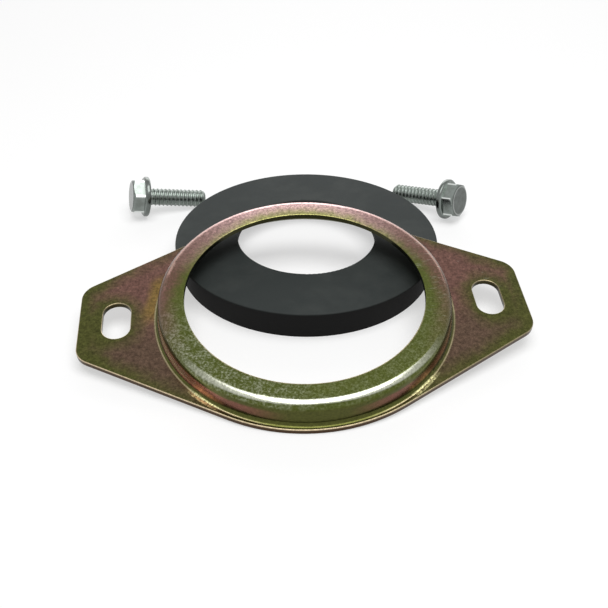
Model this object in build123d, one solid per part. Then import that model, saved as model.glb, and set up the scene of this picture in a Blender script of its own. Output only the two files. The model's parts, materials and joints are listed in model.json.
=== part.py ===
from build123d import *
from math import asin, atan2, cos, degrees, hypot, radians, sin, sqrt, tan
import os

# A hydraulic flange kit, in millimetres: a stamped steel flange, a rubber seal ring and two screws.
# The ring lies flat with its axis on Z and its underside on the floor, z = 0. The flange leans on it,
# front rim on the floor, and the screws lie behind. X runs to the right and Y to the rear.

# Flange, one stamping of sheet steel. Its own frame has the underside of the plate on z = 0.
sheet = 1.5              # thickness of the steel
bore_radius = 34.2       # edge of the inward lip
cup_radius = 41.6        # outside of the cup at its shoulder
cup_height = 8.6         # underside of the plate to the top of the lip
cup_draft = 5.0          # lean of the cup's wall, in degrees, wider at the foot
shoulder_radius = 2.4    # outside bend from the wall to the lip
foot_radius = 1.1        # outside bend from the wall to the plate
rim = 0.4                # plate left outside the foot of the cup, at the front and rear
rolled_edge = 0.25       # upper edges, rounded by the punch: the outline, the slots and the bore
round_radius = 46.6      # rounded front and rear of the plate
ear_angle = 30.3         # slope of the ears' edges to the long axis, in degrees
flange_length = 129.2    # end to end over both ears
ear_corner = 6.2         # rounded corners of the ears
slot_width = 8.0         # along the flange, midway between the foot of the cup and the ear's end
slot_length = 14.0       # across the flange

# Seal ring, one rubber moulding. Its side narrows towards the floor and its top rises to the hole.
# The hole widens below its upper edge, so nothing of its side shows behind that edge from the front.
ring_radius = 42.0       # outer edge of the top
ring_undercut = 1.4      # how far the foot of the side lies inside that edge
ring_thickness = 9.0     # height at the outer edge
ring_rise = 0.6          # extra height at the hole
ring_edge = 0.35         # softened upper edges of the moulding
hole_radius = 22.0       # upper part of the hole
hole_land = 2.4          # straight height of that part
mouth_recess = 29.5      # radius of the hole at the floor
recess_land = 1.0        # straight height there

# Screws, hex washer head, one forging each. The thread is not cut here.
screw_diameter = 6.0
screw_length = 20.0      # under the washer
screw_point = 0.9        # chamfer of the blunt tip
washer_radius = 6.9
washer_rim = 1.4         # thickness at the washer's edge
washer_round = 0.6       # rounding of the two corners of that edge
washer_cone = 0.5        # further height up to the hex
hex_width = 10.9         # across the flats
hex_height = 4.1         # above the washer
hex_chamfer = 0.9        # height of the rounded-off corners at the top of the hex
throat_radius = 0.4      # fillet between the washer and the shank

# How the pieces lie.
flange_distance = 36.9   # from the ring's axis forward to the flange's centre
flange_turn = 6.0        # turn of the flange about its own axis, in degrees, left ear forward
seat_clearance = 0.15    # between the flange's plate and the ring's top edge
left_washer = (-55.7, 28.65)  # plan place of the centre of each screw's washer face
left_heading = 17.3           # plan direction from head to tip, in degrees from X
left_roll = 32.0              # turn of the hex about the screw, in degrees
right_washer = (48.0, 29.0)
right_heading = 145.5
right_roll = 27.4

# Worked out from the sizes above.
cup_foot = cup_radius + (cup_height - sheet) * tan(radians(cup_draft))
mouth_radius = cup_foot + foot_radius
reach = mouth_radius + rim
wall_across = sheet / cos(radians(cup_draft))
slot_place = (mouth_radius + flange_length / 2) / 2
washer_top = -washer_rim - washer_cone
head_top = washer_top - hex_height
hex_corner = hex_width / 2 / cos(radians(30))
shank_radius = screw_diameter / 2


def plate_outline():
    """Six-sided plate with rounded front and rear and rounded ear corners."""
    half = flange_length / 2
    slope = radians(ear_angle)
    apex = reach + round_radius * (1 / cos(slope) - 1)
    end = apex - half * tan(slope)
    corners = [(half, end), (0, apex), (-half, end), (-half, -end), (0, -apex), (half, -end)]
    with BuildSketch() as outline:
        Polygon(*corners, align=None)
        tips = outline.vertices().filter_by(lambda v: abs(v.X) < 0.01)
        fillet(tips, round_radius)
        ends = outline.vertices().filter_by(lambda v: abs(v.X) > half - 0.01)
        fillet(ends, ear_corner)
    return outline.sketch


def cup_section():
    """Half section of the drawn cup: lip, shoulder, wall and foot, one sheet thick all along."""
    points = [
        (bore_radius, cup_height),
        (cup_radius, cup_height),
        (cup_foot, sheet),
        (mouth_radius, sheet),
        (mouth_radius, 0),
        (cup_foot - wall_across + sheet * tan(radians(cup_draft)), 0),
        (cup_radius - wall_across + sheet * tan(radians(cup_draft)), cup_height - sheet),
        (bore_radius, cup_height - sheet),
    ]
    bends = [
        (points[0], rolled_edge),
        (points[1], shoulder_radius),
        (points[2], foot_radius),
        (points[5], foot_radius + sheet),
        (points[6], shoulder_radius - sheet),
    ]
    with BuildSketch(Plane.XZ) as section:
        Polygon(*points, align=None)
        for (across, up), radius in bends:
            corner = section.vertices().sort_by_distance((across, up))[0]
            fillet(corner, radius)
    return section.sketch


def make_flange():
    """Plate with two ears and slots, and the round cup drawn up from its middle."""
    with BuildPart() as flange:
        with BuildSketch():
            add(plate_outline())
            with Locations((-slot_place, 0), (slot_place, 0)):
                SlotOverall(slot_length, slot_width, rotation=90, mode=Mode.SUBTRACT)
        extrude(amount=sheet)
        fillet(flange.faces().sort_by(Axis.Z)[-1].edges(), rolled_edge)
        Cylinder(mouth_radius, 2 * sheet, mode=Mode.SUBTRACT)
        add(revolve(cup_section(), Axis.Z))
    return flange.part


def make_seal_ring():
    """Thick ring: one revolved section with softened upper edges and a hole that widens below."""
    hole_top = ring_thickness + ring_rise
    points = [
        (mouth_recess, 0),
        (ring_radius - ring_undercut, 0),
        (ring_radius, ring_thickness),
        (hole_radius, hole_top),
        (hole_radius, hole_top - hole_land),
        (mouth_recess, recess_land),
    ]
    with BuildPart() as ring:
        with BuildSketch(Plane.XZ) as section:
            Polygon(*points, align=None)
            fillet(section.vertices().group_by(Axis.Y)[-2:], ring_edge)
        revolve(axis=Axis.Z)
    return ring.part


def make_shank():
    """Shank and washer, turned about X, with a blunt tip, a throat fillet and a rounded rim."""
    bends = [
        ((0, shank_radius), throat_radius),
        ((0, washer_radius), washer_round),
        ((-washer_rim, washer_radius), washer_round),
    ]
    with BuildPart() as shank:
        with BuildSketch(Plane.XY) as section:
            with BuildLine():
                Polyline(
                    (washer_top, 0),
                    (screw_length, 0),
                    (screw_length, shank_radius - screw_point),
                    (screw_length - screw_point, shank_radius),
                    (0, shank_radius),
                    (0, washer_radius),
                    (-washer_rim, washer_radius),
                    (washer_top, hex_corner),
                    close=True,
                )
            make_face()
            for place, radius in bends:
                fillet(section.vertices().sort_by_distance(place)[0], radius)
        revolve(axis=Axis.X)
    return shank.part


def make_hex():
    """Hex of the head, with the corners at its top turned off."""
    with BuildPart() as head:
        with BuildSketch(Plane.YZ.offset(head_top)):
            RegularPolygon(hex_corner, 6)
        extrude(amount=hex_height)
        with BuildSketch(Plane.XY):
            with BuildLine():
                Polyline(
                    (head_top, 0),
                    (head_top, hex_width / 2 - hex_chamfer / 2),
                    (head_top + hex_chamfer, hex_corner),
                    (washer_top, hex_corner),
                    (washer_top, 0),
                    close=True,
                )
            make_face()
        revolve(axis=Axis.X, mode=Mode.INTERSECT)
    return head.part


def make_screw():
    """Screw along +X from the washer's face at x = 0, with its head on -X."""
    with BuildPart() as screw:
        add(make_shank())
        add(make_hex())
    return screw.part


def front_reach():
    """Distance in the plate from its centre to its lowest point, square to the lean."""
    shift = round_radius - reach
    return round_radius - shift * cos(radians(flange_turn))


def resting_lean():
    """Lean of the plate, in radians, with its front rim on the floor and its underside on the ring.

    The ring's top edge first meets the plate where, seen from above, it crosses the mouth of the
    cup. The lean narrows the mouth seen from above, so the crossing is worked out a few times.
    """
    lean = 0.0
    for _ in range(12):
        narrow = cos(lean)
        square = 1 / narrow ** 2 - 1
        linear = 2 * flange_distance / narrow ** 2
        rest = (flange_distance / narrow) ** 2 + ring_radius ** 2 - mouth_radius ** 2
        crossing = -2 * rest / (linear + sqrt(linear ** 2 - 4 * square * rest))
        run = flange_distance + crossing + front_reach() * narrow
        lean = atan2(ring_thickness + seat_clearance, run)
    return lean


def place_flange(flange):
    """Turns the flange about its own axis, leans it back on the ring and stands it on the floor."""
    lean = resting_lean()
    centre = (0, -flange_distance, front_reach() * sin(lean))
    return Pos(centre) * Rot(X=degrees(lean)) * Rot(Z=flange_turn) * flange


def lay_screw(screw, washer_place, heading, roll):
    """Lays a screw on the floor on the rounded rim of its washer and the edge of its tip."""
    span = screw_length - screw_point + washer_round
    drop = washer_radius - washer_round - shank_radius
    dip = atan2(drop, span) + asin(washer_round / hypot(drop, span))
    height = (screw_length - screw_point) * sin(dip) + shank_radius * cos(dip)
    centre = (washer_place[0], washer_place[1], height)
    return Pos(centre) * Rot(Z=heading) * Rot(Y=degrees(dip)) * Rot(X=roll) * screw


def main():
    os.makedirs("parts", exist_ok=True)
    screw = make_screw()
    pieces = {
        "flange": place_flange(make_flange()),
        "seal_ring": make_seal_ring(),
        "left_screw": lay_screw(screw, left_washer, left_heading, left_roll),
        "right_screw": lay_screw(screw, right_washer, right_heading, right_roll),
    }
    for name, piece in pieces.items():
        export_step(piece, f"parts/{name}.step")


main()
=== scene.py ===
"""Hydraulic flange kit: a chromated steel flange, a rubber seal ring and two zinc plated screws.

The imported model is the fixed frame, in metres, with the floor at z = 0. The flange and the ring are
its own nodes with better finishes. Each screw is replaced by one with a rolled thread, which is
modelled in millimetres along X and then laid in its place.
"""
import json
from math import asin, atan2, cos, hypot, pi, radians, sin, sqrt, tan

import bpy
from bpy.props import FloatProperty, FloatVectorProperty, PointerProperty
from mathutils import Matrix, Vector


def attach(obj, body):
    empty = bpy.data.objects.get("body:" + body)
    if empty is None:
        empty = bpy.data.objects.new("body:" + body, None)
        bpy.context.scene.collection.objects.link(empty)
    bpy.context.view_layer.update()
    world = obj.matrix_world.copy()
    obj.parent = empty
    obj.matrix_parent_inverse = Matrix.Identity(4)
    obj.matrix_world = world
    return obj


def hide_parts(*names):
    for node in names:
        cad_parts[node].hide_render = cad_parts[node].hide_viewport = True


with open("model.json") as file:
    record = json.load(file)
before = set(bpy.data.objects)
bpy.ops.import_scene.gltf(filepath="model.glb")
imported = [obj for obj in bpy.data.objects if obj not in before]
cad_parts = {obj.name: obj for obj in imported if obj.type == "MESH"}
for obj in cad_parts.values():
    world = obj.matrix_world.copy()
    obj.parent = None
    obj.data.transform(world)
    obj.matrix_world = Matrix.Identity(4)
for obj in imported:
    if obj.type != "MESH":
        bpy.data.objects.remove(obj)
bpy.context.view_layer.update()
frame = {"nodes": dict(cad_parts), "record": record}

bl_info = {
    "name": "Hydraulic flange kit",
    "version": (1, 0, 0),
    "blender": (4, 5, 0),
    "location": "View3D > Sidebar > Flange",
    "description": "Finishes a stamped flange and its seal ring, and makes its two screws",
    "category": "Object",
}

mounts = {mount["name"]: mount for mount in frame["record"]["mounts"]}
MILLIMETRE = 0.001


def flange_frame():
    """Matrix of the flange's own frame: X along its ears, Z up its bore, origin in its plate."""
    left = Vector(mounts["left_slot"]["pos_m"])
    right = Vector(mounts["right_slot"]["pos_m"])
    along = (right - left).normalized()
    up = Vector(mounts["flange_bore"]["axis"]).normalized()
    turned = Matrix((along, up.cross(along), up)).transposed().to_4x4()
    return Matrix.Translation((left + right) / 2) @ turned


# Settings that a user would change.


class StudioSettings(bpy.types.PropertyGroup):
    """Camera, floor and lights."""

    target: FloatVectorProperty(
        name="Target", description="Point of the floor that the camera looks at",
        default=(-0.000375, -0.024526, 0.0), subtype="TRANSLATION", unit="LENGTH", precision=6)
    distance: FloatProperty(
        name="Distance", description="From the target to the camera", default=0.270613, unit="LENGTH")
    azimuth: FloatProperty(
        name="Azimuth", description="Turn of the camera about Z", default=radians(0.743), unit="ROTATION")
    elevation: FloatProperty(
        name="Elevation", description="Height angle of the camera", default=radians(36.590),
        unit="ROTATION")
    roll: FloatProperty(
        name="Roll", description="Turn of the camera about its line of sight", default=radians(0.115),
        unit="ROTATION")
    focal_length: FloatProperty(
        name="Focal length", description="Of the lens, in millimetres on a 36 mm sensor",
        default=52.371)
    floor_size: FloatProperty(
        name="Floor size", description="Side of the square floor", default=6.0, unit="LENGTH")
    floor_colour: FloatVectorProperty(
        name="Floor", description="Colour of the floor", default=(0.50, 0.50, 0.50), subtype="COLOR")
    floor_lift: FloatProperty(
        name="Floor lift", description="White added to the floor where it is seen", default=0.53)
    sky_strength: FloatProperty(
        name="Sky", description="Brightness of the even light from all round", default=0.22)
    lit_point: FloatVectorProperty(
        name="Lit point", description="Middle of the kit, which the lamps face",
        default=(0.0, -0.02, 0.0), subtype="TRANSLATION", unit="LENGTH")
    key_place: FloatVectorProperty(
        name="Key place", description="Centre of the lamp overhead", default=(0.05, -0.12, 0.60),
        subtype="TRANSLATION", unit="LENGTH")
    key_size: FloatVectorProperty(
        name="Key size", description="Width and depth of the lamp overhead", default=(0.56, 0.44),
        size=2, unit="LENGTH")
    key_brightness: FloatProperty(
        name="Key brightness", description="Of the lamp overhead", default=4.0)
    rear_place: FloatVectorProperty(
        name="Rear place", description="Centre of the lamp behind", default=(0.0, 0.80, 0.30),
        subtype="TRANSLATION", unit="LENGTH")
    rear_size: FloatVectorProperty(
        name="Rear size", description="Width and height of the lamp behind", default=(1.2, 0.50),
        size=2, unit="LENGTH")
    rear_brightness: FloatProperty(
        name="Rear brightness", description="Of the lamp behind", default=1.9)


class FlangeFinish(bpy.types.PropertyGroup):
    """Sizes, in millimetres in the flange's own frame, and colours of the chromate."""

    sheet: FloatProperty(name="Sheet", description="Thickness of the steel", default=1.5)
    cup_radius: FloatProperty(name="Cup radius", description="Outside of the cup", default=41.6)
    mouth_radius: FloatProperty(name="Mouth radius", description="Foot of the cup", default=43.32)
    bore_radius: FloatProperty(name="Bore radius", description="Inside of the lip", default=34.2)
    lip_height: FloatProperty(name="Lip height", description="Top of the lip", default=7.85)
    shoulder: FloatProperty(name="Shoulder", description="Bend of the cup's top", default=2.4)
    half_length: FloatProperty(name="Half length", description="Centre to ear end", default=64.6)
    apex: FloatProperty(name="Apex", description="Where the sloped edges would meet", default=51.1)
    ear_angle: FloatProperty(
        name="Ear angle", description="Slope of the ears' edges", default=radians(30.3),
        unit="ROTATION")
    ear_corner: FloatProperty(name="Ear corner", description="Its rounding", default=6.2)
    round_radius: FloatProperty(name="Round radius", description="Of the front", default=46.6)
    reach: FloatProperty(name="Reach", description="Centre to the front edge", default=43.72)
    slot_place: FloatProperty(name="Slot place", description="Centre to a slot", default=53.96)
    slot_width: FloatProperty(name="Slot width", description="Along the flange", default=8.0)
    slot_length: FloatProperty(name="Slot length", description="Across the flange", default=14.0)
    rolled_edge: FloatProperty(name="Rolled edge", description="Round upper edge", default=0.25)
    olive: FloatVectorProperty(
        name="Olive", description="Thin plating near edges", default=(0.066, 0.069, 0.019),
        subtype="COLOR")
    mauve: FloatVectorProperty(
        name="Mauve", description="Thick plating on the ears", default=(0.140, 0.073, 0.058),
        subtype="COLOR")
    plum: FloatVectorProperty(
        name="Plum", description="Dark plating low on the ears", default=(0.090, 0.060, 0.040),
        subtype="COLOR")
    gold: FloatVectorProperty(
        name="Gold", description="Plating beside the cup", default=(0.190, 0.125, 0.035),
        subtype="COLOR")
    copper: FloatVectorProperty(
        name="Copper", description="Plating on the cup's wall", default=(0.600, 0.230, 0.200),
        subtype="COLOR")
    maroon: FloatVectorProperty(
        name="Maroon", description="Plating on the cup's wall", default=(0.150, 0.066, 0.045),
        subtype="COLOR")
    green: FloatVectorProperty(
        name="Green", description="Plating on the lip", default=(0.082, 0.098, 0.022),
        subtype="COLOR")
    # Silver is worn specks and scratches, and also the painted highlight on the front of the shoulder.
    silver: FloatVectorProperty(
        name="Silver", description="Worn specks and scratches", default=(0.480, 0.490, 0.410),
        subtype="COLOR")
    # Pink and straw are plating tone with a painted highlight: the rear of the lip and shoulder is
    # painted far paler than the front.
    pink: FloatVectorProperty(
        name="Pink", description="Rear of the shoulder", default=(0.700, 0.460, 0.450),
        subtype="COLOR")
    straw: FloatVectorProperty(
        name="Straw", description="Rear of the lip", default=(0.330, 0.320, 0.120),
        subtype="COLOR")
    # Painted highlight: the pale colour laid on the bore's front edge, the rolled upper edges and the
    # cup's foot, partly wear on the edges.
    painted_highlight: FloatVectorProperty(
        name="Cream", description="Worn upper edges", default=(0.620, 0.500, 0.340),
        subtype="COLOR")
    brown: FloatVectorProperty(
        name="Brown", description="Cut edges", default=(0.055, 0.031, 0.014), subtype="COLOR")
    # Painted highlight: a bright glint on the bend at the cup's foot at each front quarter.
    painted_glint: FloatVectorProperty(
        name="Lime", description="Bright plating at the foot", default=(0.700, 0.680, 0.340),
        subtype="COLOR")
    # Painted shade: the dark colour laid on the bore's wall under the lip and on the slots' walls.
    painted_shading: FloatVectorProperty(
        name="Shade", description="Inside of the bore", default=(0.030, 0.030, 0.012),
        subtype="COLOR")


class RubberFinish(bpy.types.PropertyGroup):
    """Height, in millimetres, and colours of the seal ring."""

    height: FloatProperty(name="Height", description="At its outer edge", default=9.0)
    face: FloatVectorProperty(
        name="Face", description="Top of the ring", default=(0.0272, 0.0320, 0.0310), subtype="COLOR")
    # Painted shade: the sides get a darker copy of the rubber than the top.
    side: FloatVectorProperty(
        name="Side", description="Sides of the ring", default=(0.0092, 0.0092, 0.0092),
        subtype="COLOR")
    bloom: FloatVectorProperty(
        name="Bloom", description="Dusty patches", default=(0.040, 0.045, 0.043), subtype="COLOR")


class ScrewSettings(bpy.types.PropertyGroup):
    """Sizes of a screw in millimetres, how the two lie, and their colours."""

    diameter: FloatProperty(name="Diameter", description="Over the thread", default=6.0)
    length: FloatProperty(name="Length", description="Under the washer", default=20.0)
    pitch: FloatProperty(name="Pitch", description="Between two turns of thread", default=1.4)
    depth: FloatProperty(name="Depth", description="Of the thread", default=0.30)
    crest: FloatProperty(name="Crest", description="Flat on top of the thread", default=0.35)
    worn: FloatProperty(name="Worn", description="Rounding of the thread", default=0.18)
    point: FloatProperty(name="Point", description="Chamfer of the blunt tip", default=0.9)
    neck: FloatProperty(name="Neck", description="Plain shank under the washer", default=0.9)
    washer_radius: FloatProperty(name="Washer radius", description="Of the washer", default=6.9)
    washer_rim: FloatProperty(name="Washer rim", description="Thickness at its edge", default=1.4)
    washer_round: FloatProperty(name="Washer round", description="Rounding of its rim", default=0.6)
    washer_cone: FloatProperty(name="Washer cone", description="Further height", default=0.5)
    hex_width: FloatProperty(name="Hex width", description="Across the flats", default=10.9)
    hex_height: FloatProperty(name="Hex height", description="Above the washer", default=4.1)
    hex_chamfer: FloatProperty(name="Hex chamfer", description="Height of the chamfer", default=0.9)
    left_place: FloatVectorProperty(
        name="Left place", description="Plan place of the left washer's face", size=2,
        default=(-55.7, 28.65))
    left_heading: FloatProperty(
        name="Left heading", description="Plan direction to the tip", default=radians(17.3),
        unit="ROTATION")
    left_roll: FloatProperty(
        name="Left roll", description="Turn of the hex", default=radians(32.0), unit="ROTATION")
    right_place: FloatVectorProperty(
        name="Right place", description="Plan place of the right washer's face", size=2,
        default=(48.0, 29.0))
    right_heading: FloatProperty(
        name="Right heading", description="Plan direction to the tip", default=radians(145.5),
        unit="ROTATION")
    right_roll: FloatProperty(
        name="Right roll", description="Turn of the hex", default=radians(27.4), unit="ROTATION")
    zinc: FloatVectorProperty(
        name="Zinc", description="Bright plating", default=(0.225, 0.250, 0.235), subtype="COLOR")
    dull_zinc: FloatVectorProperty(
        name="Dull zinc", description="Cloudy patches", default=(0.165, 0.182, 0.168),
        subtype="COLOR")
    # Pale edges: wear and a painted highlight on the hex's corners and a ring on its end.
    zinc_wear_and_highlight: FloatVectorProperty(
        name="Worn zinc", description="Bright edges", default=(0.740, 0.770, 0.750), subtype="COLOR")
    # Grime and painted shade in the roots of the thread.
    grime_and_painted_shade: FloatVectorProperty(
        name="Grime", description="Between the threads", default=(0.100, 0.125, 0.105),
        subtype="COLOR")


# Materials.


class Wire:
    """An output socket. Sums written on it add Math nodes to its tree."""

    def __init__(self, finish, socket):
        self.finish = finish
        self.socket = socket

    def math(self, operation, first, second=0.0):
        """A Math node on one or two wires or numbers."""
        return self.finish.node("ShaderNodeMath", {"operation": operation}, {0: first, 1: second})

    def __add__(self, other):
        return self.math("ADD", self, other)

    def __radd__(self, other):
        return self.math("ADD", other, self)

    def __sub__(self, other):
        return self.math("SUBTRACT", self, other)

    def __rsub__(self, other):
        return self.math("SUBTRACT", other, self)

    def __mul__(self, other):
        return self.math("MULTIPLY", self, other)

    def __rmul__(self, other):
        return self.math("MULTIPLY", other, self)

    def __truediv__(self, other):
        return self.math("DIVIDE", self, other)

    def __rtruediv__(self, other):
        return self.math("DIVIDE", other, self)

    def __pow__(self, other):
        return self.math("POWER", self, other)

    def __abs__(self):
        return self.math("ABSOLUTE", self)

    def over(self, other):
        """1 where it is over the other, else 0."""
        return self.math("GREATER_THAN", self, other)

    def least(self, other):
        """The smaller of the two."""
        return self.math("MINIMUM", self, other)

    def most(self, other):
        """The larger of the two."""
        return self.math("MAXIMUM", self, other)

    def rise(self, low, high):
        """0 up to low, 1 from high, smooth between. With low over high it falls."""
        settings = {"interpolation_type": "SMOOTHSTEP"}
        inputs = {"Value": self, "From Min": low, "From Max": high}
        return self.finish.node("ShaderNodeMapRange", settings, inputs)

    def band(self, low, high, soft):
        """1 between low and high, fading over the soft width outside."""
        return self.rise(low - soft, low) * self.rise(high + soft, high)

    def between(self, low, high):
        """Low where it is 0 and high where it is 1, in a straight line."""
        return self * (high - low) + low

    def swing(self, reach):
        """A noise that goes half the reach to each side of 0."""
        return self.between(-reach / 2, reach / 2)


class Finish:
    """A node tree, and short ways to add to it."""

    def __init__(self, tree):
        self.tree = tree
        self.tree.nodes.clear()

    def node(self, kind, settings=None, inputs=None, output=0):
        """Adds a node: its settings first, then the values or wires of its sockets."""
        made = self.tree.nodes.new(kind)
        for name, value in (settings or {}).items():
            setattr(made, name, value)
        for name, value in (inputs or {}).items():
            if isinstance(value, Wire):
                self.tree.links.new(value.socket, made.inputs[name])
            else:
                made.inputs[name].default_value = value
        return Wire(self, made.outputs[output]) if made.outputs else None

    def place(self, matrix):
        """Object coordinates in millimetres in the frame that the matrix gives."""
        where = self.node("ShaderNodeTexCoord", output="Object")
        return self.node("ShaderNodeMapping", {"vector_type": "TEXTURE"}, {
            "Vector": where,
            "Location": matrix.to_translation(),
            "Rotation": matrix.to_euler("XYZ"),
            "Scale": (MILLIMETRE, MILLIMETRE, MILLIMETRE),
        })

    def stretch(self, place, scale, rotation):
        """A place turned and then scaled along each axis."""
        return self.node("ShaderNodeMapping", {}, {
            "Vector": place, "Rotation": rotation, "Scale": scale})

    def axes(self, place):
        """The three numbers of a place."""
        split = self.node("ShaderNodeSeparateXYZ", {}, {0: place})
        outputs = split.socket.node.outputs
        return [Wire(self, outputs[axis]) for axis in ("X", "Y", "Z")]

    def noise(self, place, scale, detail, roughness):
        """Noise around 0.5. The scale is that of its coarsest spots, per unit of the place."""
        return self.node("ShaderNodeTexNoise", {}, {
            "Vector": place, "Scale": scale, "Detail": detail, "Roughness": roughness})

    def mix(self, factor, first, second):
        """Colour that goes from the first to the second with the factor."""
        return self.node("ShaderNodeMix", {"data_type": "RGBA"}, {
            0: factor, 6: tinted(first), 7: tinted(second)}, output=2)

    def scaled(self, colour, amount):
        """A colour times a number."""
        return self.node("ShaderNodeVectorMath", {"operation": "SCALE"}, {
            "Vector": colour, "Scale": amount})

    def bump(self, height, strength, distance):
        """A Bump node, with its distance in metres."""
        return self.node("ShaderNodeBump", {}, {
            "Height": height, "Strength": strength, "Distance": distance})

    def surface(self, **sockets):
        """Ends the tree in a principled shader with these sockets."""
        inputs = {name.replace("_", " "): value for name, value in sockets.items()}
        shader = self.node("ShaderNodeBsdfPrincipled", {}, inputs)
        self.node("ShaderNodeOutputMaterial", {}, {"Surface": shader})


def tinted(colour):
    """A colour as four numbers, or a wire as it is."""
    if isinstance(colour, Wire):
        return colour
    return (*colour, 1.0)


def new_finish(name):
    """A material and its empty tree."""
    material = bpy.data.materials.new(name)
    material.use_nodes = True
    return material, Finish(material.node_tree)


# Noises of the chromate: scale per millimetre, detail and roughness.
CLOUD = (0.09, 4.0, 0.55)
BLOTCH = (0.42, 3.0, 0.6)
MOTTLE = (0.9, 3.0, 0.7)
GRAIN = (1.5, 4.0, 0.7)
FINE = (5.0, 2.0, 0.7)

# Scratches are a noise drawn out along their heading. An edge this soft bounds each of them.
SCRATCH = (1.0, 3.0, 0.6)
SCRATCH_STRETCH = (0.22, 3.4, 1.0)
SCRATCH_EDGE = 0.07


class FlangeMap:
    """Where a point lies on the flange, in its own millimetres, and the noises of its plating.

    Rearward is 1 straight behind the bore's axis and -1 straight in front of it. Sideways is 1
    at its right and -1 at its left.
    """

    def __init__(self, finish, look):
        self.finish = finish
        self.place = finish.place(flange_frame())
        self.x, self.y, self.z = finish.axes(self.place)
        self.radius = (self.x * self.x + self.y * self.y) ** 0.5
        self.rearward = self.y / self.radius
        self.sideways = self.x / self.radius
        self.inside = outline_distance(look, self.x, self.y)
        self.cloud = finish.noise(self.place, *CLOUD)
        self.blotch = finish.noise(self.place, *BLOTCH)
        self.mottle = finish.noise(self.place, *MOTTLE)
        self.grain = finish.noise(self.place, *GRAIN)
        self.fine = finish.noise(self.place, *FINE)

    def scratches(self, heading, sparse):
        """Thin light lines along a heading. Fewer show where sparse is nearer 1."""
        laid = self.finish.stretch(self.place, SCRATCH_STRETCH, (0, 0, -heading))
        return self.finish.noise(laid, *SCRATCH).rise(sparse, sparse + SCRATCH_EDGE)


def outline_distance(look, x, y):
    """How far a place lies inside the plate's outline and outside its slots."""
    along, across = abs(x), abs(y)
    to_side = (look.apex - along * tan(look.ear_angle) - across) * cos(look.ear_angle)
    beyond = across + (look.round_radius - look.reach)
    to_round = look.round_radius - (along * along + beyond * beyond) ** 0.5
    by_round = 1 - along.over(look.round_radius * sin(look.ear_angle))
    to_outline = to_side + (to_round - to_side) * by_round
    to_end = look.half_length - along

    meet = sin(look.ear_angle)
    past_side = look.ear_corner - to_outline
    past_end = look.ear_corner - to_end
    squared = past_side * past_side + past_end * past_end - past_side * past_end * (2 * meet)
    to_corner = look.ear_corner - (squared / (1 - meet * meet)).most(0.0) ** 0.5
    in_corner = past_side.over(past_end * meet) * past_end.over(past_side * meet)
    edge = to_outline.least(to_end)
    edge = edge + (to_corner - edge) * in_corner

    slot_y = (across - (look.slot_length - look.slot_width) / 2).most(0.0)
    slot_x = along - look.slot_place
    return edge.least((slot_x * slot_x + slot_y * slot_y) ** 0.5 - look.slot_width / 2)


# In the next functions a pair of numbers is what rise takes and three are what band takes.


def ear_colour(finish, look, on):
    """Olive along the edges, mauve between, plum in front, gold at the cup, scratched at the right."""
    ear_end, ear_rear = (46.0, 62.0), (0.0, 14.0)
    wider_at_end, narrower_at_rear = 3.0, 2.0
    olive_to_mauve = (-1.5, 7.0)
    waver = on.cloud.swing(9.0) + on.blotch.swing(4.0)
    widened = abs(on.x).rise(*ear_end) * wider_at_end - on.y.rise(*ear_rear) * narrower_at_rear
    thick = (on.inside + waver - widened).rise(*olive_to_mauve)
    plum_front, plum_share = (-2.0, 12.0), 0.85
    low = (on.cloud.swing(16.0) - on.y).rise(*plum_front)
    middle = finish.mix(low * plum_share, look.mauve, look.plum)
    colour = finish.mix(thick, look.olive, middle)

    gold_around = (0.0, look.mouth_radius + 1.0, 3.5)
    gold_rear, gold_left, gold_share = (3.0, 13.0, 7.0), (0.0, -20.0), 0.85
    beside = (on.radius + on.cloud.swing(5.0)).band(*gold_around)
    beside = beside * on.y.band(*gold_rear) * on.x.rise(*gold_left)
    colour = finish.mix(beside * gold_share, colour, look.gold)

    darkest, lightest = 0.1, 1.9
    colour = finish.scaled(colour, on.mottle.between(darkest, lightest))
    scratch_heading, scratch_sparse = radians(-14), 0.70
    right_ear, rear_edge = (44.0, 58.0, 6.0), (5.0, 15.0, 3.0)
    worn = on.scratches(scratch_heading, scratch_sparse)
    worn = worn * on.x.band(*right_ear) * on.y.band(*rear_edge)
    return finish.mix(worn, colour, look.silver)


def front_lip(finish, look, on):
    """Green with silver specks, more of them towards the left."""
    speck_size, left_side = (0.44, 0.64), (0.35, -0.75)
    fewest, most = 0.10, 0.40
    sideways_share, grain_share = 0.8, 0.7
    specks = (on.grain * grain_share + on.blotch * (1 - grain_share)).rise(*speck_size)
    to_left = (on.sideways * sideways_share + on.cloud.swing(1.0)).rise(*left_side)
    return finish.mix(specks * to_left.between(fewest, most), look.green, look.silver)


def side_lip(finish, look, on, outer):
    """Mauve over green, with scratches at the right."""
    thinnest, thickest = 0.45, 1.35
    mauve = outer * on.grain.between(thinnest, thickest)
    colour = finish.mix(mauve, look.green, look.mauve)
    scratch_heading, scratch_sparse = radians(62), 0.62
    right_side, scratch_share = (0.4, 0.9), 0.5
    worn = on.scratches(scratch_heading, scratch_sparse) * on.sideways.rise(*right_side)
    return finish.mix(worn * scratch_share, colour, look.silver)


def rear_lip(finish, look, on, outer):
    """Straw inside and pink outside, mauve towards the sides. The straw and pink are plating tone with a
    painted highlight, paler than the rest of the lip.
    """
    to_sides, mauve_share, lightest = (0.1, 0.8), 0.65, 1.8
    colour = finish.mix(outer, look.straw, look.pink)
    mauve = abs(on.sideways).rise(*to_sides) * outer * mauve_share
    colour = finish.mix(mauve, colour, look.mauve)
    return finish.scaled(colour, on.mottle * lightest)


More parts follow.
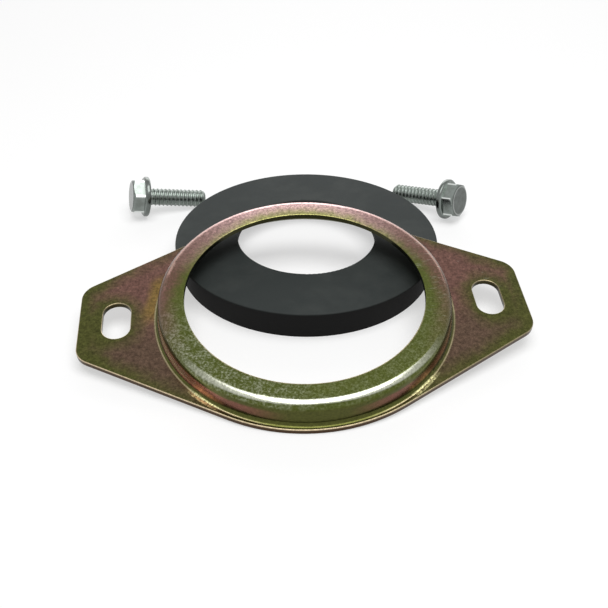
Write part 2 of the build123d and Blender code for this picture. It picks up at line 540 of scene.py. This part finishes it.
def lip_colour(finish, look, on):
    """The lip and the shoulder, in front, at the sides and at the rear."""
    rear_half, rear_middle = (-0.2, 0.6), (0.75, 1.0)
    middle_share, pull = 0.5, 2.5
    pulled_in = on.rearward.rise(*rear_half) - on.rearward.rise(*rear_middle) * middle_share
    outer = on.radius + on.blotch.swing(4.0) + pulled_in * pull
    across_lip = (look.bore_radius + 1.2, look.cup_radius - 1.0)
    outer = outer.rise(*across_lip)

    front_to_side, side_to_rear = (-0.75, 0.15), (0.2, 1.02)
    to_side = (on.rearward + on.cloud.swing(0.5)).rise(*front_to_side)
    to_rear = (on.rearward + on.cloud.swing(0.25)).rise(*side_to_rear)
    colour = finish.mix(to_side, front_lip(finish, look, on), side_lip(finish, look, on, outer))
    return finish.mix(to_rear, colour, rear_lip(finish, look, on, outer))


def wall_colour(finish, look, on):
    """Olive, with maroon at each front quarter and copper at the left, lighter at both sides."""
    maroon_heights, maroon_front = (2.7, 4.2, 1.1), (-0.97, -0.20, 0.15)
    off_middle = (0.15, 0.5)
    middle = (on.z + on.cloud.swing(1.6)).band(*maroon_heights)
    quarter = on.rearward.band(*maroon_front) * abs(on.sideways).rise(*off_middle)
    colour = finish.mix(middle * quarter, look.olive, look.maroon)

    copper_heights = (2.0, 4.4, 0.8)
    copper_left, copper_front = (-0.55, -0.85), (0.1, -0.25)
    left = on.sideways.rise(*copper_left) * on.rearward.rise(*copper_front)
    colour = finish.mix(on.z.band(*copper_heights) * left, colour, look.copper)

    to_sides, above_foot = (0.5, 0.9), (1.4, 2.6)
    in_middle, at_sides = 1.1, 3.3
    sides = abs(on.sideways).rise(*to_sides) * on.z.rise(*above_foot)
    return finish.scaled(colour, sides.between(in_middle, at_sides))


def cup_colour(finish, look, on):
    """Wall and lip, with a painted highlight as a silver streak on the front of the shoulder, and a
    painted cream highlight at the foot.
    """
    bend = look.cup_radius - look.shoulder
    streak, streak_front = (bend + 0.3, bend + 1.3, 0.4), (-0.45, -0.90)
    streak_bow, streak_share = 0.8, 0.9
    # Painted highlight: a silver streak along the front of the shoulder, where the key lamp's reflection
    # falls.
    painted_shoulder_highlight = (on.radius - abs(on.sideways) * streak_bow).band(*streak)
    painted_shoulder_highlight = painted_shoulder_highlight * on.rearward.rise(*streak_front)
    lip = finish.mix(painted_shoulder_highlight * streak_share, lip_colour(finish, look, on), look.silver)

    shoulder = look.lip_height - look.shoulder
    wall_to_lip = (shoulder + 0.2, shoulder + 1.2)
    colour = finish.mix(on.z.rise(*wall_to_lip), wall_colour(finish, look, on), lip)

    # Painted highlight: a thin cream line round the cup's foot, towards its sides.
    foot_line = (look.mouth_radius - 0.40, look.mouth_radius - 0.10, 0.12)
    to_sides, faintest, palest = (0.25, 0.55), 0.05, 0.65
    foot = on.radius.band(*foot_line) * abs(on.sideways).rise(*to_sides)
    return finish.mix(foot * on.cloud.between(faintest, palest), colour, look.painted_highlight)


def plating_colour(finish, look, on):
    """The ears and the cup, with a painted highlight, a glint, on the bend between them at each front
    quarter.
    """
    mouth = look.mouth_radius
    on_cup = on.radius.rise(mouth + 0.15, mouth - 0.25)
    colour = finish.mix(on_cup, ear_colour(finish, look, on), cup_colour(finish, look, on))
    quarters, front_half = (0.64, 0.72, 0.07), (0.0, -0.3)
    glint_bend, glint_grain, glint_share = (mouth - 0.5, mouth + 0.6, 0.3), (0.3, 0.6), 0.8
    # Painted highlight: the glint at each front quarter of the bend.
    quarter = abs(on.sideways).band(*quarters) * on.rearward.rise(*front_half)
    glint = on.radius.band(*glint_bend) * quarter * on.grain.rise(*glint_grain)
    return finish.mix(glint * glint_share, colour, look.painted_glint)


def edged_colour(finish, look, on, colour):
    """Adds the bore's edge with a painted highlight, partly wear, at its front, painted shade on the
    bore's wall and in the slots, the brown cut edges, and a painted highlight on the pale rolled ones.
    """
    bore_edge = (look.bore_radius + 0.45, look.bore_radius + 0.15)
    below_lip = (look.lip_height - 0.1, look.lip_height - 0.3)
    front, wear_and_highlight_share = (-0.15, -0.75), 0.5
    bore = on.radius.rise(*bore_edge)
    # Painted highlight, partly wear, along the front of the bore's edge, then painted shade on the bore's
    # wall under the lip.
    colour = finish.mix(bore * on.rearward.rise(*front) * wear_and_highlight_share, colour, look.painted_highlight)
    colour = finish.mix(bore * on.z.rise(*below_lip), colour, look.painted_shading)

    plate_top = look.sheet / 2
    roll_high, roll_low = plate_top - 0.20, plate_top - 0.35
    cut_depth = (0.06, 0.02)
    cut = on.inside.rise(*cut_depth) * on.z.rise(roll_high, roll_low)
    colour = finish.mix(cut, colour, look.brown)
    slot_end, slot_side = look.slot_place + look.slot_width / 2, look.slot_length / 2
    slot_along, slot_across = (slot_end + 0.5, slot_end + 0.2), (slot_side + 1.0, slot_side + 0.5)
    slot_share = 0.8
    # Painted shade on the walls of the slots.
    in_slot = abs(on.x).rise(*slot_along) * abs(on.y).rise(*slot_across)
    colour = finish.mix(cut * in_slot * slot_share, colour, look.painted_shading)

    roll_depth = (look.rolled_edge, look.rolled_edge - 0.15)
    to_front, to_left = (4.0, -8.0), (46.0, 10.0)
    faintest, palest = 0.4, 0.9
    # Painted highlight on the rolled upper edges, partly wear, paler along the front edge.
    rolled = on.inside.rise(*roll_depth) * on.z.rise(roll_low, roll_high)
    front_edge = on.y.rise(*to_front) * on.x.rise(*to_left)
    return finish.mix(rolled * front_edge.between(faintest, palest), colour, look.painted_highlight)


def chromate_material(look):
    """Yellow chromate on steel, in another shade on each bend, with pale edges that are painted
    highlights, partly wear, and painted shade in the bore and slots.
    """
    material, finish = new_finish("chromated_steel")
    on = FlangeMap(finish, look)
    colour = plating_colour(finish, look, on)
    colour = edged_colour(finish, look, on, colour)
    grain_contrast, grain_offset = 1.3, -0.15
    smoothest, grain_rough, cloud_rough = 0.12, 0.14, 0.08
    fine_relief = 0.5
    finish.surface(
        Base_Color=finish.scaled(colour, on.grain * grain_contrast + on.fine + grain_offset),
        Metallic=1.0,
        Roughness=on.grain * grain_rough + on.cloud * cloud_rough + smoothest,
        Normal=finish.bump(on.grain + on.fine * fine_relief, strength=0.30, distance=0.00005),
    )
    return material


def rubber_material(look):
    """Matt moulded rubber, lighter on its top than on its sides, with dusty patches. The darker sides are
    painted shade.
    """
    material, finish = new_finish("moulded_rubber")
    place = finish.place(Matrix.Identity(4))
    height = finish.axes(place)[2]
    cloud = finish.noise(place, scale=0.06, detail=4.0, roughness=0.6)
    grain = finish.noise(place, scale=3.0, detail=3.0, roughness=0.6)
    dust, upper_edge = (0.42, 0.75), (look.height - 0.4, look.height + 0.05)
    face = finish.mix(cloud.rise(*dust), look.face, look.bloom)
    smoothest, grain_rough, gloss = 0.62, 0.15, 0.12
    finish.surface(
        # Painted shade: below the top edge the rubber takes the darker side colour.
        Base_Color=finish.mix(height.rise(*upper_edge), look.side, face),
        Roughness=grain * grain_rough + smoothest,
        Specular_IOR_Level=gloss,
        Normal=finish.bump(grain, strength=0.15, distance=0.00008),
    )
    return material


def zinc_material(name, look, laid):
    """Bright zinc with cloudy patches, pale edges that are wear and a painted highlight, painted shade on
    the end and the washer, and grime with painted shade in the thread.
    """
    material, finish = new_finish(name)
    place = finish.place(laid)
    x, y, z = finish.axes(place)
    radius = (y * y + z * z) ** 0.5
    cloud = finish.noise(place, scale=0.35, detail=3.0, roughness=0.6)
    grain = finish.noise(place, scale=4.0, detail=2.0, roughness=0.6)
    washer_top, head_top, corner = head_levels(look)
    flat, outer = look.hex_width / 2, look.diameter / 2

    shank = x.rise(0.0, 0.3)
    on_hex = x.rise(washer_top, washer_top - 0.2)
    end = x.rise(head_top + 0.35, head_top + 0.10)
    end_ring = radius.band(flat - 0.75, flat - 0.45, 0.2) * end
    washer = x.band(-look.washer_rim, 0.0, look.washer_cone)
    edge = radius.rise(corner - 0.32, corner - 0.15) * on_hex
    root = radius.rise(outer - look.depth * 0.35, outer - look.depth)

    patches, grime_and_shade_share, wear_and_highlight_share, ring_share = (0.35, 0.7), 0.6, 0.8, 0.3
    lighter_shank, darker_end, darker_washer = 0.10, 0.50, 0.35
    colour = finish.mix(cloud.rise(*patches), look.zinc, look.dull_zinc)
    # Grime and painted shade darken the roots of the thread.
    colour = finish.mix(shank * root * grime_and_shade_share, colour, look.grime_and_painted_shade)
    # Painted shade: the hex's end and the washer darker, the shank a little lighter.
    painted_shading = 1 + shank * lighter_shank - end * darker_end - washer * darker_washer
    colour = finish.scaled(colour, painted_shading)
    # Painted highlight, partly wear: the hex's corners and a ring on its end are pale.
    worn = edge.most(end_ring * ring_share)
    smoothest, grain_rough, shank_rough = 0.14, 0.12, 0.12
    finish.surface(
        Base_Color=finish.mix(worn * wear_and_highlight_share, colour, look.zinc_wear_and_highlight),
        Metallic=1.0,
        Roughness=grain * grain_rough + smoothest + shank * shank_rough,
        Normal=finish.bump(grain, strength=0.10, distance=0.00005),
    )
    return material


# Modelling, in millimetres.

ARC_STEPS = 5                  # along each rounding of the washer
WORN_STEPS = 3                 # along each rounding of the thread
TURNING_STEPS = 96             # round the washer and the chamfer of the hex
THREAD_STEPS = 40              # round each turn of thread
LEAD_TURNS = 2                 # turns of thread ahead of the shank, cut off later
FLANK_ANGLE = radians(30)      # of the thread's sides, from straight across
RUN_OUT = 0.45                 # share of the thread's depth that is gone under the washer
CAP_MARGIN = 0.5               # how far the cutter of the hex stands out past its corners
SOFT_EDGE = 0.28               # width of the bevel on the head's edges
SOFT_EDGE_STEPS = 3            # across that bevel
SOFT_EDGE_ANGLE = radians(28)  # edges sharper than this get the bevel
SMOOTH_ANGLE = radians(32)     # edges blunter than this are shaded smooth
SAME_POINT = 0.0005            # distance at which doubled corners are merged
SAME_PLANE = 0.0001            # distance at which a corner counts as on the cut


def pick(piece):
    """Selects one piece alone and makes it the active one."""
    bpy.ops.object.select_all(action="DESELECT")
    bpy.context.view_layer.objects.active = piece
    piece.select_set(True)


def edit_all(piece):
    """Goes into edit mode on one piece with all of it selected."""
    pick(piece)
    bpy.ops.object.mode_set(mode="EDIT")
    bpy.ops.mesh.select_all(action="SELECT")


def add_modifier(piece, kind, **settings):
    """Adds a modifier with these settings and applies it."""
    pick(piece)
    modifier = piece.modifiers.new(kind.title(), kind)
    for name, value in settings.items():
        setattr(modifier, name, value)
    bpy.ops.object.modifier_apply(modifier=modifier.name)


def combine(piece, other, operation):
    """Joins or cuts a piece with another, which is then removed."""
    add_modifier(piece, "BOOLEAN", operation=operation, object=other, solver="EXACT")
    bpy.data.objects.remove(other)


def close_up(piece):
    """Merges doubled corners and turns every face outwards."""
    edit_all(piece)
    bpy.ops.mesh.remove_doubles(threshold=SAME_POINT)
    bpy.ops.mesh.normals_make_consistent(inside=False)
    bpy.ops.object.mode_set(mode="OBJECT")


def cut_at(piece, x, outward):
    """Cuts a piece square across at x and closes the cut. What lies on the outward side goes."""
    edit_all(piece)
    bpy.ops.mesh.bisect(
        plane_co=(x, 0, 0), plane_no=(outward, 0, 0), use_fill=True, clear_outer=True,
        threshold=SAME_PLANE)
    bpy.ops.object.mode_set(mode="OBJECT")


def rounded(corners, steps):
    """Points of a line through corners (x, radius, rounding), with an arc at each rounding."""
    points = []
    for number, (x, height, rounding) in enumerate(corners):
        corner = Vector((x, height))
        if not rounding:
            points.append(corner)
            continue
        back = (Vector(corners[number - 1][:2]) - corner).normalized()
        ahead = (Vector(corners[number + 1][:2]) - corner).normalized()
        half = back.angle(ahead) / 2
        centre = corner + (back + ahead).normalized() * rounding / sin(half)
        start = corner + back * rounding / tan(half) - centre
        end = corner + ahead * rounding / tan(half) - centre
        points += [
            centre + start.slerp(end, step / steps) * rounding for step in range(steps + 1)]
    return points


def drawn_line(points):
    """A new object with one open line of edges through the points (x, radius), in the XZ plane."""
    bpy.ops.object.select_all(action="DESELECT")
    first_x, first_z = points[0]
    bpy.ops.mesh.primitive_plane_add(size=0.1, location=(first_x, 0, first_z))
    bpy.ops.object.transform_apply(location=True)
    bpy.ops.object.mode_set(mode="EDIT")
    bpy.ops.mesh.merge(type="CENTER")
    for (old_x, old_z), (new_x, new_z) in zip(points, points[1:]):
        step = (new_x - old_x, 0, new_z - old_z)
        bpy.ops.mesh.extrude_region_move(TRANSFORM_OT_translate={"value": step})
    bpy.ops.object.mode_set(mode="OBJECT")
    return bpy.context.active_object


def turned_solid(points):
    """A solid of revolution about X from a line whose two ends lie on the axis."""
    piece = drawn_line(points)
    edit_all(piece)
    bpy.ops.mesh.spin(steps=TURNING_STEPS, angle=2 * pi, center=(0, 0, 0), axis=(1, 0, 0))
    bpy.ops.object.mode_set(mode="OBJECT")
    close_up(piece)
    return piece


def thread_profile(sizes):
    """One turn of thread along X: root, flank, crest, flank, root, with worn corners."""
    outer = sizes.diameter / 2
    inner = outer - sizes.depth
    flank = sizes.depth * tan(FLANK_ANGLE)
    start = (sizes.pitch - sizes.crest) / 2 - flank
    return rounded([
        (0, inner, 0),
        (start, inner, sizes.worn),
        (start + flank, outer, sizes.worn),
        (start + flank + sizes.crest, outer, sizes.worn),
        (start + 2 * flank + sizes.crest, inner, sizes.worn),
        (sizes.pitch, inner, 0),
    ], WORN_STEPS)


def thread_envelope(sizes, x):
    """Greatest radius of the shank at x: the chamfered tip, and the run-out under the washer."""
    outer = sizes.diameter / 2
    blank = outer - sizes.depth * RUN_OUT
    tip = outer - max(0.0, x - (sizes.length - sizes.point))
    share = min(1.0, max(0.0, (x - sizes.neck) / sizes.pitch))
    return min(tip, blank + (outer - blank) * share)


def make_thread(sizes):
    """The threaded shank, right-handed, from inside the washer to the tip."""
    piece = drawn_line(thread_profile(sizes))
    turns = int(sizes.length / sizes.pitch) + 1 + LEAD_TURNS
    add_modifier(
        piece, "SCREW", axis="X", angle=2 * pi, screw_offset=sizes.pitch, iterations=turns,
        steps=THREAD_STEPS, render_steps=THREAD_STEPS, use_smooth_shade=False)
    piece.data.transform(Matrix.Translation((-LEAD_TURNS * sizes.pitch, 0, 0)))
    close_up(piece)
    cut_at(piece, sizes.length, 1)
    cut_at(piece, -sizes.washer_rim / 2, -1)
    for vertex in piece.data.vertices:
        x, y, z = vertex.co
        radius = sqrt(y * y + z * z)
        limit = thread_envelope(sizes, x)
        if radius > limit:
            vertex.co = (x, y * limit / radius, z * limit / radius)
    close_up(piece)
    return piece


def head_levels(sizes):
    """Where the hex begins and ends along the screw, and the radius of its corners."""
    washer_top = -sizes.washer_rim - sizes.washer_cone
    head_top = washer_top - sizes.hex_height
    corner = sizes.hex_width / 2 / cos(pi / 6)
    return washer_top, head_top, corner


def make_head(sizes):
    """Washer and hex with a rounded rim and a chamfered top, one forging."""
    washer_top, head_top, corner = head_levels(sizes)
    rim = sizes.washer_rim
    flat = sizes.hex_width / 2
    washer = turned_solid(rounded([
        (0, 0, 0),
        (0, sizes.washer_radius, sizes.washer_round),
        (-rim, sizes.washer_radius, sizes.washer_round),
        (washer_top, corner, 0),
        (washer_top, 0, 0),
    ], ARC_STEPS))
    bpy.ops.object.select_all(action="DESELECT")
    bpy.ops.mesh.primitive_cylinder_add(
        vertices=6, radius=corner, depth=sizes.hex_height + sizes.washer_cone,
        location=((head_top - rim) / 2, 0, 0), rotation=(0, pi / 2, 0))
    bpy.ops.object.transform_apply(location=True, rotation=True)
    hexagon = bpy.context.active_object
    cap = turned_solid([
        (head_top, 0),
        (head_top, flat - sizes.hex_chamfer / 2),
        (head_top + sizes.hex_chamfer, corner),
        (0, corner + CAP_MARGIN),
        (0, 0),
    ])
    combine(hexagon, cap, "INTERSECT")
    combine(washer, hexagon, "UNION")
    add_modifier(
        washer, "BEVEL", width=SOFT_EDGE, segments=SOFT_EDGE_STEPS, limit_method="ANGLE",
        angle_limit=SOFT_EDGE_ANGLE, use_clamp_overlap=True)
    close_up(washer)
    return washer


def screw_matrix(sizes, place, heading, roll):
    """Lays a screw on the floor on the rim of its washer and the edge of its tip, in metres."""
    tip = sizes.length - sizes.point
    span = tip + sizes.washer_round
    drop = sizes.washer_radius - sizes.washer_round - sizes.diameter / 2
    dip = atan2(drop, span) + asin(sizes.washer_round / hypot(drop, span))
    height = tip * sin(dip) + sizes.diameter / 2 * cos(dip)
    centre = Vector((place[0], place[1], height)) * MILLIMETRE
    return (
        Matrix.Translation(centre) @ Matrix.Rotation(heading, 4, "Z")
        @ Matrix.Rotation(dip, 4, "Y") @ Matrix.Rotation(roll, 4, "X")
    )


def lay_copy(model, laid):
    """A copy of the screw with a mesh of its own, laid in its place."""
    piece = model.copy()
    piece.data = model.data.copy()
    bpy.context.collection.objects.link(piece)
    piece.data.transform(laid @ Matrix.Scale(MILLIMETRE, 4))
    pick(piece)
    bpy.ops.object.shade_smooth_by_angle(angle=SMOOTH_ANGLE)
    return piece


def give_finish(node, material):
    """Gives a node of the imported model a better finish."""
    for slot in frame["nodes"][node].material_slots:
        slot.material = material


def hand_over(piece, name, node, material):
    """Names a finished piece, gives it its finish and puts it in the place of a node."""
    piece.name = name
    piece.data.name = name
    piece.data.materials.clear()
    piece.data.materials.append(material)
    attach(piece, "root")
    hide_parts(node)


# Stage.

WHITE = (1, 1, 1, 1)
FLOOR_DROP = 0.00002           # keeps the floor just clear of what stands on it, in metres
SENSOR_WIDTH = 36.0            # of the camera, in millimetres
NEAREST = 0.01                 # distance from which the camera sees, in metres


def seen(finish):
    """1 for rays that show what they meet: camera, mirror and glass rays."""
    path = finish.node("ShaderNodeLightPath").socket.node.outputs
    kinds = ("Is Camera Ray", "Is Glossy Ray", "Is Transmission Ray")
    camera, mirror, glass = [Wire(finish, path[kind]) for kind in kinds]
    return camera.most(mirror).most(glass)


def floor_material(look):
    """Matt pale floor that keeps soft shadows, lifted to white where it is seen."""
    material, finish = new_finish("pale_floor")
    matt = finish.node("ShaderNodeBsdfDiffuse", {}, {"Color": tinted(look.floor_colour)})
    lift = finish.node("ShaderNodeEmission", {}, {
        "Color": WHITE, "Strength": seen(finish) * look.floor_lift})
    both = finish.node("ShaderNodeAddShader", {}, {0: matt, 1: lift})
    finish.node("ShaderNodeOutputMaterial", {}, {"Surface": both})
    return material


def lay_floor(look):
    bpy.ops.object.select_all(action="DESELECT")
    bpy.ops.mesh.primitive_plane_add(size=look.floor_size, location=(0, 0, -FLOOR_DROP))
    floor = bpy.context.active_object
    floor.name = "floor"
    floor.data.materials.append(floor_material(look))


def light_sky(scene, look):
    """Even light from all round, white where it is seen."""
    world = bpy.data.worlds.new("even_light")
    world.use_nodes = True
    scene.world = world
    finish = Finish(world.node_tree)
    strength = seen(finish).between(look.sky_strength, 1.0)
    light = finish.node("ShaderNodeBackground", {}, {"Color": WHITE, "Strength": strength})
    finish.node("ShaderNodeOutputWorld", {}, {"Surface": light})


def soft_box(name, place, size, brightness, lit_point):
    lamp = bpy.data.lights.new(name, "AREA")
    lamp.shape = "RECTANGLE"
    lamp.size, lamp.size_y = size
    lamp.energy = brightness * pi * size[0] * size[1]
    box = bpy.data.objects.new(name, lamp)
    box.location = place
    box.rotation_mode = "QUATERNION"
    aim = Vector(lit_point) - Vector(place)
    box.rotation_quaternion = aim.to_track_quat("-Z", "Y")
    bpy.context.scene.collection.objects.link(box)


def point_camera(scene, look):
    """The camera, aimed at its target from its distance, azimuth and elevation, with its roll."""
    level = cos(look.elevation)
    forward = Vector((
        -sin(look.azimuth) * level, cos(look.azimuth) * level, -sin(look.elevation)))
    right = Vector((cos(look.azimuth), sin(look.azimuth), 0))
    up = right.cross(forward)
    rolled_right = right * cos(look.roll) + up * sin(look.roll)
    rolled_up = up * cos(look.roll) - right * sin(look.roll)
    turned = Matrix((rolled_right, rolled_up, -forward)).transposed().to_4x4()
    place = Vector(look.target) - forward * look.distance
    lens = bpy.data.cameras.new("camera")
    lens.sensor_width = SENSOR_WIDTH
    lens.lens = look.focal_length
    lens.clip_start = NEAREST
    camera = bpy.data.objects.new("camera", lens)
    camera.matrix_world = Matrix.Translation(place) @ turned
    scene.collection.objects.link(camera)
    scene.camera = camera


# Operators, one for each piece or group of like pieces and one for the stage.


class FLANGE_OT_finish_flange(bpy.types.Operator):
    """Gives the stamped flange its chromate"""

    bl_idname = "flange.finish_flange"
    bl_label = "Finish the flange"

    def execute(self, context):
        give_finish("flange", chromate_material(context.scene.flange_finish))
        return {"FINISHED"}


class FLANGE_OT_finish_ring(bpy.types.Operator):
    """Gives the seal ring its rubber"""

    bl_idname = "flange.finish_ring"
    bl_label = "Finish the seal ring"

    def execute(self, context):
        give_finish("seal_ring", rubber_material(context.scene.rubber_finish))
        return {"FINISHED"}


class FLANGE_OT_make_screws(bpy.types.Operator):
    """Makes the two screws with their threads, in the places of their nodes"""

    bl_idname = "flange.make_screws"
    bl_label = "Make the screws"

    def execute(self, context):
        sizes = context.scene.screw_settings
        model = make_head(sizes)
        combine(model, make_thread(sizes), "UNION")
        close_up(model)
        ways = {
            "left_screw": (sizes.left_place, sizes.left_heading, sizes.left_roll),
            "right_screw": (sizes.right_place, sizes.right_heading, sizes.right_roll),
        }
        for node, way in ways.items():
            laid = screw_matrix(sizes, *way)
            piece = lay_copy(model, laid)
            material = zinc_material(f"zinc_{node}", sizes, laid)
            hand_over(piece, f"{node}_threaded", node, material)
        bpy.data.objects.remove(model)
        return {"FINISHED"}


class FLANGE_OT_set_stage(bpy.types.Operator):
    """Sets the floor, the lights and the camera"""

    bl_idname = "flange.set_stage"
    bl_label = "Set the stage"

    def execute(self, context):
        scene, look = context.scene, context.scene.studio_settings
        lay_floor(look)
        light_sky(scene, look)
        scene.view_settings.view_transform = "Standard"
        soft_box("key", look.key_place, look.key_size, look.key_brightness, look.lit_point)
        soft_box("rear", look.rear_place, look.rear_size, look.rear_brightness, look.lit_point)
        point_camera(scene, look)
        return {"FINISHED"}


class FLANGE_PT_kit(bpy.types.Panel):
    bl_idname = "FLANGE_PT_kit"
    bl_label = "Flange kit"
    bl_space_type = "VIEW_3D"
    bl_region_type = "UI"
    bl_category = "Flange"

    def draw(self, context):
        for step in OPERATORS:
            self.layout.operator(step.bl_idname)


OPERATORS = (
    FLANGE_OT_finish_flange,
    FLANGE_OT_finish_ring,
    FLANGE_OT_make_screws,
    FLANGE_OT_set_stage,
)
SETTINGS = {
    "studio_settings": StudioSettings,
    "flange_finish": FlangeFinish,
    "rubber_finish": RubberFinish,
    "screw_settings": ScrewSettings,
}


def register():
    """Adds the settings to every scene, and the operators and the panel."""
    for name, group in SETTINGS.items():
        bpy.utils.register_class(group)
        setattr(bpy.types.Scene, name, PointerProperty(type=group))
    for step in OPERATORS:
        bpy.utils.register_class(step)
    bpy.utils.register_class(FLANGE_PT_kit)


def unregister():
    """Takes away all that register adds."""
    bpy.utils.unregister_class(FLANGE_PT_kit)
    for step in reversed(OPERATORS):
        bpy.utils.unregister_class(step)
    for name, group in SETTINGS.items():
        delattr(bpy.types.Scene, name)
        bpy.utils.unregister_class(group)


def main():
    """Builds the visual model and its stage."""
    register()
    bpy.ops.flange.finish_flange()
    bpy.ops.flange.finish_ring()
    bpy.ops.flange.make_screws()
    bpy.ops.flange.set_stage()


if __name__ == "__main__":
    main()
